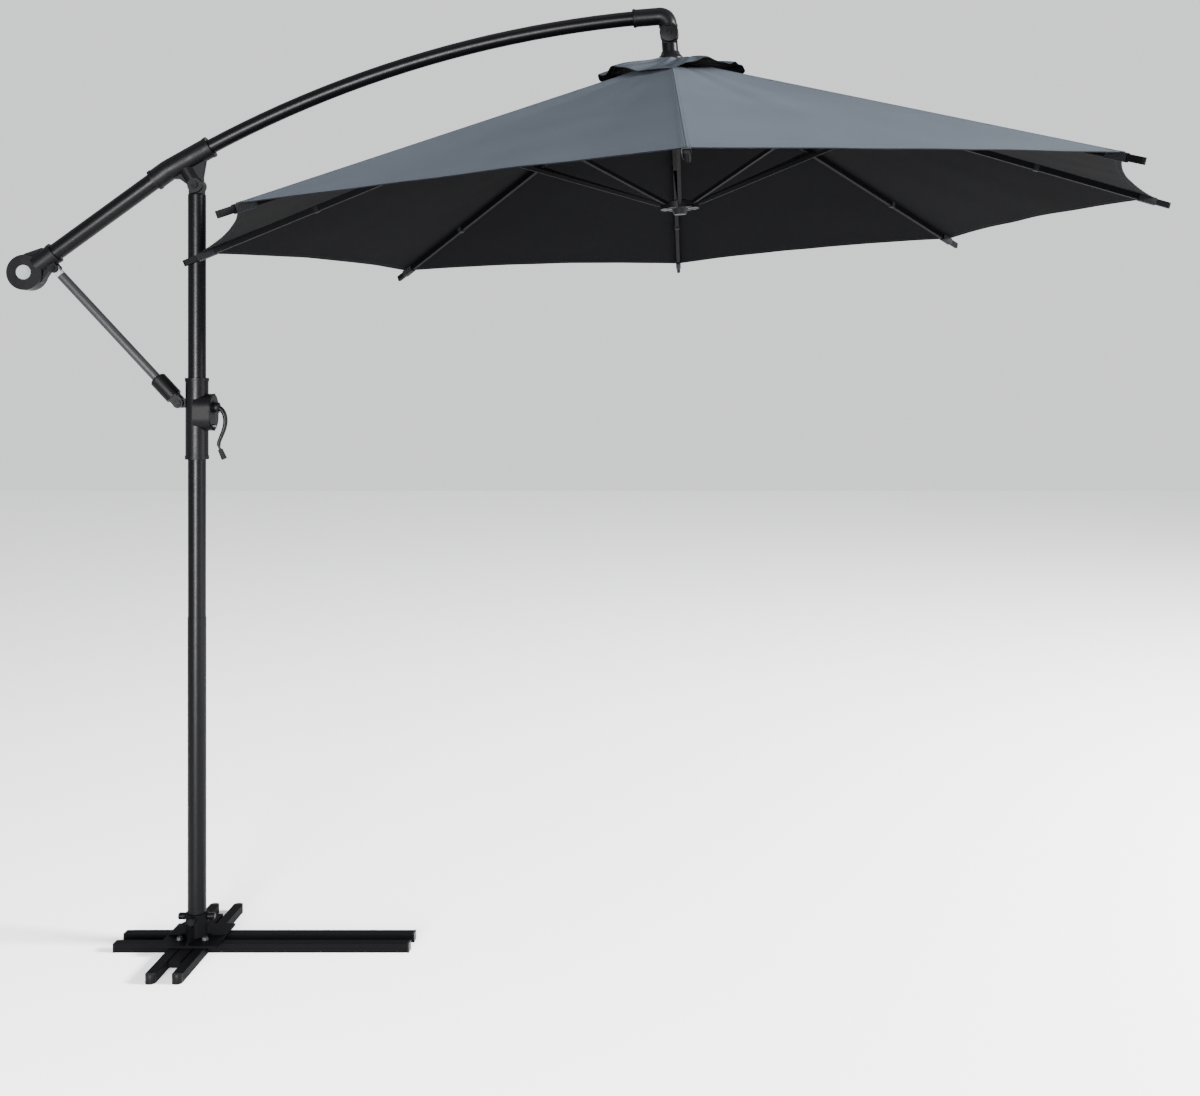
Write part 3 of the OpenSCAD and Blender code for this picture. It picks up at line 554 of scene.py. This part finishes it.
def cloth_sector(i):
    """The canopy cloth of one rib, with its felled seam, turned hem and vent edge."""
    cloth = bpy.context.scene.umbrella_cloth
    length = (cloth.corner_r - cloth.vent_r) / math.cos(DROP)
    rows = sector_rows(length)
    verts, normals, values = [], [], []
    # neighbouring shares of one gore take the same tone, as both are cut from one piece
    gores = [random.Random(DYE_SEED + (i + side) % RIBS).uniform(*DYE_RANGE) for side in (0, -1)]
    for v in rows:
        r = cloth.vent_r + (cloth.corner_r - cloth.vent_r) * v
        shares = sector_columns(r * 0.5 * math.sin(STEP))
        for h in [-s for s in reversed(shares[1:])] + shares:
            place, up = gore_point(i, v, h), gore_normal(i, v, h)
            seam = abs(h) * r * math.sin(STEP)
            local_len = (cloth.corner_r - cloth.vent_r
                         - cloth.hem_sag / math.cos(STEP / 2) * 4 * abs(h) * (1 - abs(h)))
            hem = (1 - v) * local_len / math.cos(DROP)
            vent = v * local_len / math.cos(DROP)
            edge = min(hem, vent + VENT_EDGE_LESS)
            felled = 1 if seam <= SEAM_HALF + 1e-6 else 0
            turned = 1 if edge <= HEM_WIDE + 1e-4 else 0
            above = CLOTH_HALF + 0.0008 * felled + 0.0005 * turned
            below = CLOTH_HALF + 0.0006 * turned
            verts.append((place + up * above, place - up * below))
            normals.append(up)
            values.append({
                "seam_mm": seam * 1000,
                "hem_mm": edge * 1000,
                "along_mm": vent * 1000,
                # the grain of each gore runs down its own middle, so it turns at the seam
                "across_mm": (0.5 - abs(h)) * r * CHORD_MM,
                "dye_tone_and_shade": gores[0] if h > 1e-5 else gores[1],
            })
    wide = len(verts) // len(rows)
    count = len(verts)
    points = [a for a, b in verts] + [b for a, b in verts]
    faces, under = [], []
    for a in range(len(rows) - 1):
        for b in range(wide - 1):
            k = a * wide + b
            faces.append((k, k + wide, k + wide + 1, k + 1))
            under.append(0)
            faces.append(tuple(n + count for n in (k, k + 1, k + wide + 1, k + wide)))
            under.append(1)
    for b in range(wide - 1):
        k, m = b, (len(rows) - 1) * wide + b
        faces += [(k, k + 1, k + 1 + count, k + count), (m, m + count, m + 1 + count, m + 1)]
        under += [0, 0]
    for a in range(len(rows) - 1):
        k, m = a * wide, a * wide + wide - 1
        faces += [(k, k + count, k + wide + count, k + wide),
                  (m, m + wide, m + wide + count, m + count)]
        under += [1, 1]
    mesh = bpy.data.meshes.new(f"canopy_cloth_{i + 1}")
    mesh.from_pydata(points, [], faces)
    mesh.polygons.foreach_set("material_index", under)
    mesh.polygons.foreach_set("use_smooth", [True] * len(faces))
    for name in values[0]:
        made = mesh.attributes.new(name, "FLOAT", "POINT")
        # once for the upper face's points and once for the under face's
        made.data.foreach_set("value", [value[name] for value in values] * 2)
    piece = bpy.data.objects.new(f"canopy_cloth_{i + 1}", mesh)
    bpy.context.collection.objects.link(piece)
    for finish in ("Polyester canvas, upper face", "Polyester canvas, coated under face"):
        mesh.materials.append(finishes()[finish])
    mesh.normals_split_custom_set_from_vertices(normals + [-n for n in normals])
    return piece


def outward_tape(i, name, at, long, wide, deep, lift, thick):
    """A band of webbing round rib i: a box at its place, hollowed, with its edges rounded."""
    clear_selection()
    bpy.ops.mesh.primitive_cube_add(size=1)
    piece = bpy.context.object
    piece.scale = (long, wide, deep)
    piece.location = (at, 0, lift)
    bpy.ops.object.transform_apply(location=True, rotation=True, scale=True)
    bpy.ops.object.mode_set(mode="EDIT")
    bpy.ops.mesh.select_mode(type="FACE")
    bpy.ops.mesh.select_all(action="DESELECT")
    bpy.ops.object.mode_set(mode="OBJECT")
    for face in piece.data.polygons:
        face.select = abs(face.normal.x) > 0.9
    bpy.ops.object.mode_set(mode="EDIT")
    bpy.ops.mesh.delete(type="FACE")
    bpy.ops.mesh.select_all(action="SELECT")
    bpy.ops.mesh.subdivide(number_cuts=2)
    bpy.ops.object.mode_set(mode="OBJECT")
    for kind, values in (("SOLIDIFY", {"thickness": thick, "offset": 1.0}),
                         ("BEVEL", {"width": thick * 0.9, "segments": 3, "limit_method": "ANGLE"})):
        made = piece.modifiers.new(kind.title(), kind)
        for key, value in values.items():
            setattr(made, key, value)
        bpy.ops.object.modifier_apply(modifier=made.name)
    piece.matrix_world = rib_frame(i)
    return settle(piece, name, "Polyester webbing")


POCKET_LONG = 0.050
POCKET_BACK = 0.068
TIE_LONG = 0.014
TIE_PLACES = (("inner", 0.34), ("outer", 1.02))


class UMBRELLA_OT_canopy_cloth(bpy.types.Operator):
    """Makes the eight shares of the canopy cloth, with the tapes that hold them to the ribs"""

    bl_idname = "umbrella.canopy_cloth"
    bl_label = "Canopy cloth"

    def execute(self, context):
        for i in range(RIBS):
            rib = f"rib_{i + 1}"
            piece = cloth_sector(i)
            # each rib folds about its hub pivot, and its cloth gathers towards it
            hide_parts(f"canopy_panel_{i + 1}")
            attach(piece, rib)
            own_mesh(piece)
            pocket = outward_tape(i, f"tip_pocket_{i + 1}", RIB_LEN - POCKET_BACK, POCKET_LONG,
                                  RIB_WIDE + 0.003, RIB_DEEP + 0.002, -0.0004, 0.0014)
            ties = [outward_tape(i, f"rib_tie_{k}_{i + 1}", at, TIE_LONG, RIB_WIDE + 0.0016,
                                 RIB_DEEP + 0.0018, 0.0, 0.0010)
                    for k, at in TIE_PLACES]
            for part in [pocket] + ties:
                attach(part, rib)
        return {"FINISHED"}


# ---- vent cap ----

CAP_HOLE_R = 0.0185
CAP_INNER_R = 0.038
CAP_AROUND, CAP_RINGS = 288, 44
# the cap's slack front fold: its depth in metres and its width in radians
DROOP_DEEP, DROOP_WIDE = 0.036, 0.46
CAP_CLEAR = 0.003
# the vent cap's cloth is drawn a fifth darker than the canopy's: painted shade
CAP_SHADE_TONE = 0.80


def cap_point(r, a, rim):
    """A point of the gathered cap: seven loose flutes that lean over as they run out."""
    share = (r - CAP_INNER_R) / (rim - CAP_INNER_R)
    if share <= 0:
        return Vector((r * math.cos(a), r * math.sin(a), -0.0752))
    # the front, on the -Y side, lies slack on the canopy, and the rest is held up by its hem
    front = math.remainder(a + math.pi / 2 + 0.18, 2 * math.pi)
    droop = DROOP_DEEP * math.exp(-(front / DROOP_WIDE) ** 2)
    w = -0.0755 - 0.0380 * share ** 1.15 - droop * share ** 1.6
    lean = a + 0.55 * share
    flute = (math.sin(7 * lean + 0.9 * math.sin(2 * a) + 0.6) * 0.62
             + 0.34 * math.sin(13 * lean + 1.7) + 0.20 * math.sin(22 * lean + 0.4)
             + 0.5 * noise.noise(Vector((math.cos(a) * 2.2, math.sin(a) * 2.2, r * 14))))
    height = 0.0068 * min(1, share * 4.5) * (0.75 + 0.45 * share)
    resting = rib_line_w(r) + CAP_CLEAR
    return Vector((r * math.cos(a), r * math.sin(a), max(w + height * flute, resting)))


class UMBRELLA_OT_vent_cap(bpy.types.Operator):
    """Makes the gathered cloth cap over the vent"""

    bl_idname = "umbrella.vent_cap"
    bl_label = "Vent cap"

    def execute(self, context):
        cloth = context.scene.umbrella_cloth
        verts, values = [], []
        for b in range(CAP_AROUND):
            a = 2 * math.pi * b / CAP_AROUND
            rim = cloth.cap_r - 0.007 * abs(math.sin(4 * (a - TURN))) ** 1.4
            for k in range(CAP_RINGS + 1):
                t = k / CAP_RINGS
                r = CAP_HOLE_R + (rim - CAP_HOLE_R) * t
                verts.append(CANOPY @ cap_point(r, a, rim))
                values.append((1000.0, (rim - r) * 1000, r * a * 1000, r * 1000))
        stride = CAP_RINGS + 1
        faces = []
        for b in range(CAP_AROUND):
            for k in range(CAP_RINGS):
                p, q = b * stride + k, (b + 1) % CAP_AROUND * stride + k
                faces.append((p, p + 1, q + 1, q))
        mesh = bpy.data.meshes.new("vent_cap_cloth")
        mesh.from_pydata(verts, [], faces)
        for name, k in (("seam_mm", 0), ("hem_mm", 1), ("across_mm", 2), ("along_mm", 3)):
            mesh.attributes.new(name, "FLOAT", "POINT").data.foreach_set(
                "value", [q[k] for q in values])
        # the whole cap takes the darker tone, which is painted shade
        mesh.attributes.new("dye_tone_and_shade", "FLOAT", "POINT").data.foreach_set(
            "value", [CAP_SHADE_TONE] * len(values))
        mesh.polygons.foreach_set("use_smooth", [True] * len(faces))
        piece = bpy.data.objects.new("vent_cap_cloth", mesh)
        context.collection.objects.link(piece)
        for finish in ("Polyester canvas, upper face", "Polyester canvas, coated under face"):
            mesh.materials.append(finishes()[finish])
        clear_selection()
        context.view_layer.objects.active = piece
        made = piece.modifiers.new("Thickness", "SOLIDIFY")
        made.thickness = 0.0010
        made.offset = 0.0
        made.material_offset = 1
        bpy.ops.object.modifier_apply(modifier=made.name)
        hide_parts("vent_cap")
        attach(piece, "canopy_head")
        return {"FINISHED"}


# ---- crank and elbow ----

# the middle of the crank's blade, as x and z, from the shaft down to the grip
CRANK_BENDS = ((0.056, WINCH_Z), (0.0665, 1.4935), (0.0755, 1.480), (0.0790, 1.460),
               (0.0755, 1.438), (0.0670, 1.416), (0.0612, 1.401), (0.0608, 1.390))
# the boss on the shaft: x and radius, with its edges rounded
CRANK_BOSS = ((0.0495, 0.0138), (0.0515, 0.0150), (0.0600, 0.0142), (0.0622, 0.0126),
              (0.0630, 0.0100))
GRIP_STEPS, GRIP_RINGS = 60, 5
GRIP_FROM, GRIP_LONG = 0.0082, 0.0296
ELBOW_BEND_R = 0.024
LUG_R, LUG_THICK, LUG_OFF = 0.0262, 0.0130, 0.0174


class UMBRELLA_OT_crank(bpy.types.Operator):
    """Makes the crank's curved blade with its boss"""

    bl_idname = "umbrella.crank"
    bl_label = "Crank blade"

    def execute(self, context):
        line = curve_through([Vector((x, 0, z)) for x, z in CRANK_BENDS])
        sizes = [0.0068 - 0.0020 * k / (len(line) - 1) for k in range(len(line))]
        blade = sweep(line, sizes, sides=24, flat=1.28)
        bevel = blade.modifiers.new("Edge", "BEVEL")
        bevel.width, bevel.segments, bevel.limit_method = 0.0015, 3, "ANGLE"
        bpy.ops.object.modifier_apply(modifier=bevel.name)
        boss = sweep([Vector((x, 0, WINCH_Z)) for x, r in CRANK_BOSS],
                     [r for x, r in CRANK_BOSS], sides=48)
        base, tip = Vector((0.061, 0, 1.389)), Vector((0.076, 0, 1.355))
        ahead = (tip - base).normalized()
        pin = sweep([base + ahead * d for d in (-0.001, 0.008, 0.036)], [0.0032] * 3, sides=24)
        piece = settle(join([blade, boss, pin]), "crank_blade", "Glass-filled nylon, moulded", 40)
        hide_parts("crank_arm")
        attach(piece, "winch")
        # the loose sleeve that the hand turns: a waisted barrel with five grip rings
        grip_line = [base + ahead * (GRIP_FROM + GRIP_LONG * k / GRIP_STEPS)
                     for k in range(GRIP_STEPS + 1)]
        radii = []
        for k in range(GRIP_STEPS + 1):
            t = k / GRIP_STEPS
            ring = 0.00035 * math.cos(2 * math.pi * GRIP_RINGS * t)
            radii.append((0.0066 + 0.0012 * t + ring) * min(1, 0.86 + 3.5 * min(t, 1 - t)))
        grip = settle(sweep(grip_line, radii, sides=32), "crank_sleeve",
                      "Glass-filled nylon, matt grip")
        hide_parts("crank_grip")
        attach(grip, "grip")
        return {"FINISHED"}


class UMBRELLA_OT_elbow(bpy.types.Operator):
    """Makes the moulded elbow at the end of the arm"""

    bl_idname = "umbrella.elbow"
    bl_label = "Arm elbow"

    def execute(self, context):
        corner = arc_point(3.88)
        back = (arc_point(5.66) - corner).normalized()
        run = [corner + back * d for d in (0.0985, 0.0960, 0.0905, 0.0900, 0.060, 0.034)]
        wide = [0.0242, 0.0258, 0.0258, 0.0240, 0.0240, 0.0240]
        down = Vector((0, 0, -1))
        start = corner + back * ELBOW_BEND_R
        turns = 9
        centre = start + down * ELBOW_BEND_R
        angle0 = math.atan2(start.x - centre.x, start.z - centre.z)
        for k in range(turns):
            a = angle0 + (math.pi / 2 - angle0) * k / (turns - 1)
            run.append(centre + ELBOW_BEND_R * Vector((math.sin(a), 0, math.cos(a))))
            wide.append(0.0242 + 0.0006 * math.sin(math.pi * k / (turns - 1)))
        x = run[-1].x
        # the rolled lip at the elbow's lower end
        for shift, z, r in ((0, 2.5640, 0.0242), (0, 2.5628, 0.0262), (0.0006, 2.5560, 0.0266),
                            (0.0006, 2.5548, 0.0244)):
            run.append(Vector((x + shift, 0, z)))
            wide.append(r)
        shell = sweep(run, wide, sides=56)
        lugs = []
        for side in (-1, 1):
            clear_selection()
            bpy.ops.mesh.primitive_cylinder_add(vertices=64, radius=LUG_R, depth=LUG_THICK)
            lug = bpy.context.object
            lug.rotation_euler = (math.radians(90), 0, 0)
            lug.location = (TILT_PIVOT.x, side * LUG_OFF, TILT_PIVOT.z)
            bevel = lug.modifiers.new("Edge", "BEVEL")
            bevel.width, bevel.segments = 0.0022, 4
            bpy.ops.object.modifier_apply(modifier=bevel.name)
            bpy.ops.object.transform_apply(location=True, rotation=True, scale=True)
            lugs.append(lug)
        piece = settle(join([shell] + lugs), "elbow_shell", "Glass-filled nylon, coarse mould", 40)
        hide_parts("elbow_fitting")
        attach(piece, "arm")
        return {"FINISHED"}


# ---- finishes of the frame ----

RAILS = ("long_rails", "short_rails", "mast_foot")
STEEL = ("mast_lower", "mast_upper")
STRUT = ("strut_tube",)
ALUMINIUM = ("arm_rear_tube", "arm_front_tube", "pole_knuckle")
NYLON = ("rail_end_caps", "socket_screws", "mast_head", "slider_sleeve", "winch_cover",
         "strut_socket", "vent_collar", "top_hub", "runner", "crank_arm", "crank_grip")
ARM_FITTINGS = ("arm_bracket", "tail_fitting", "elbow_fitting")
GREY = ("strut_eye", "tail_caps", "tail_pulley", "elbow_pulley")
ZINC = ("foot_bolts", "winch_shaft", "winch_drum", "ratchet_wheel", "ratchet_pawl")
BLACK_STEEL = ("cover_screws", "strut_pin_lower", "arm_pins")

# real tube corners and moulded edges are rounded by about a millimetre
EDGES = {"long_rails": 0.0014, "short_rails": 0.0014, "rail_end_caps": 0.0010}


class UMBRELLA_OT_finishes(bpy.types.Operator):
    """Gives each part of the frame its finish"""

    bl_idname = "umbrella.finishes"
    bl_label = "Frame finishes"

    def execute(self, context):
        ribs = [f"{kind}_{k + 1}" for kind in ("rib", "stretcher") for k in range(RIBS)]
        panels = [f"canopy_panel_{k + 1}" for k in range(RIBS)] + ["vent_cap"]
        for finish, names in (
            ("Powder-coated steel", STEEL),
            ("Grey powder-coated strut", STRUT),
            ("Textured powder coat on rails", RAILS),
            ("Black-oxide steel, turned", BLACK_STEEL),
            ("Powder-coated aluminium", ALUMINIUM),
            ("Matt powder coat on ribs", ribs),
            ("Glass-filled nylon, moulded", NYLON),
            ("Glass-filled nylon, coarse mould", ARM_FITTINGS),
            ("Grey ABS, moulded", GREY),
            ("Zinc-plated steel, turned", ZINC),
            ("Polyester canvas, upper face", panels),
        ):
            for name in names:
                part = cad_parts[name]
                for k in range(len(part.material_slots)):
                    part.material_slots[k].material = finishes()[finish]
        for name, wide in EDGES.items():
            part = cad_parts[name]
            weld = part.modifiers.new("Weld", "WELD")
            weld.merge_threshold = 0.00001
            edge = part.modifiers.new("Rounded edges", "BEVEL")
            edge.width, edge.segments = wide, 2
            edge.limit_method, edge.angle_limit = "ANGLE", math.radians(40)
        return {"FINISHED"}


# ---- studio ----

FLOOR_WIDE = 30
SKY_TINT = (0.97, 0.98, 1.0, 1)
# the low lamp at the right is what sets the two near gores apart
RIGHT_OVER_KEY = 80
OPEN_BEAM, NARROW_BEAM = 180, 80
CAMERA_PLACE = (1.419, -3.896, 1.595)
LENS_MM, SENSOR_MM = 42.0, 36.0
LENS_SHIFT = (-0.0891, -0.14625)


class UMBRELLA_OT_studio(bpy.types.Operator):
    """Makes the pale floor, the soft lights and the camera"""

    bl_idname = "umbrella.studio"
    bl_label = "Studio"

    def execute(self, context):
        stage = context.scene.umbrella_stage
        clear_selection()
        bpy.ops.mesh.primitive_plane_add(size=1, location=(1.0, 0, 0))
        floor = context.object
        floor.scale = (FLOOR_WIDE, FLOOR_WIDE, 1)
        settle(floor, "studio_floor", "Studio floor, matt emulsion")
        for name, place, aim, size, power, beam in (
            ("Overhead", (1.0, -1.0, 6.0), (1.2, 0, 2.0), (4.0, 3.0), stage.key_power, OPEN_BEAM),
            ("Right", (8.5, -1.2, 3.9), (1.6, 0, 2.4), (1.8, 1.8),
             stage.key_power * RIGHT_OVER_KEY, OPEN_BEAM),
            # a narrow beam, so that the strip lights the mast more than the floor beside it
            ("Strip", (0.05, -5.4, 1.15), (0.0, 0, 1.25), (1.5, 2.1), stage.strip_power,
             NARROW_BEAM),
        ):
            lamp = bpy.data.lights.new(name, "AREA")
            lamp.shape = "RECTANGLE"
            lamp.energy, (lamp.size, lamp.size_y) = power, size
            lamp.spread = math.radians(beam)
            holder = bpy.data.objects.new(name, lamp)
            context.collection.objects.link(holder)
            holder.location = place
            ahead = Vector(aim) - Vector(place)
            holder.rotation_euler = ahead.to_track_quat("-Z", "Y").to_euler()
        world = bpy.data.worlds.new("White surround")
        world.use_nodes = True
        surround = world.node_tree.nodes["Background"]
        surround.inputs["Color"].default_value = SKY_TINT
        surround.inputs["Strength"].default_value = stage.sky
        context.scene.world = world
        camera = bpy.data.cameras.new("Camera")
        camera.lens, camera.sensor_width = LENS_MM, SENSOR_MM
        camera.shift_x, camera.shift_y = LENS_SHIFT
        holder = bpy.data.objects.new("Camera", camera)
        context.collection.objects.link(holder)
        holder.location = CAMERA_PLACE
        holder.rotation_euler = (math.radians(90), 0, 0)
        context.scene.camera = holder
        return {"FINISHED"}


class UMBRELLA_PT_panel(bpy.types.Panel):
    """Shows the settings and the building steps in the sidebar."""

    bl_idname = "UMBRELLA_PT_panel"
    bl_label = "Umbrella"
    bl_space_type = "VIEW_3D"
    bl_region_type = "UI"
    bl_category = "Umbrella"

    def draw(self, context):
        for settings in (context.scene.umbrella_cloth, context.scene.umbrella_frame,
                         context.scene.umbrella_stage):
            box = self.layout.box()
            for key in settings.__annotations__:
                box.prop(settings, key)
        for operator in OPERATORS:
            self.layout.operator(operator.bl_idname)


OPERATORS = (UMBRELLA_OT_finishes, UMBRELLA_OT_canopy_cloth, UMBRELLA_OT_vent_cap,
             UMBRELLA_OT_crank, UMBRELLA_OT_elbow, UMBRELLA_OT_studio)
CLASSES = (ClothSettings, FrameSettings, StageSettings, *OPERATORS, UMBRELLA_PT_panel)


def register():
    """Registers the classes and their settings."""
    for made in CLASSES:
        bpy.utils.register_class(made)
    bpy.types.Scene.umbrella_cloth = bpy.props.PointerProperty(type=ClothSettings)
    bpy.types.Scene.umbrella_frame = bpy.props.PointerProperty(type=FrameSettings)
    bpy.types.Scene.umbrella_stage = bpy.props.PointerProperty(type=StageSettings)


def unregister():
    """Removes the settings and the classes."""
    del bpy.types.Scene.umbrella_stage
    del bpy.types.Scene.umbrella_frame
    del bpy.types.Scene.umbrella_cloth
    for made in reversed(CLASSES):
        bpy.utils.unregister_class(made)


def main():
    """Builds the umbrella and its studio."""
    register()
    for step in ("finishes", "canopy_cloth", "vent_cap", "crank", "elbow", "studio"):
        result = getattr(bpy.ops.umbrella, step)()
        if result != {"FINISHED"}:
            raise RuntimeError(f"umbrella.{step} did not finish")


if __name__ == "__main__":
    main()
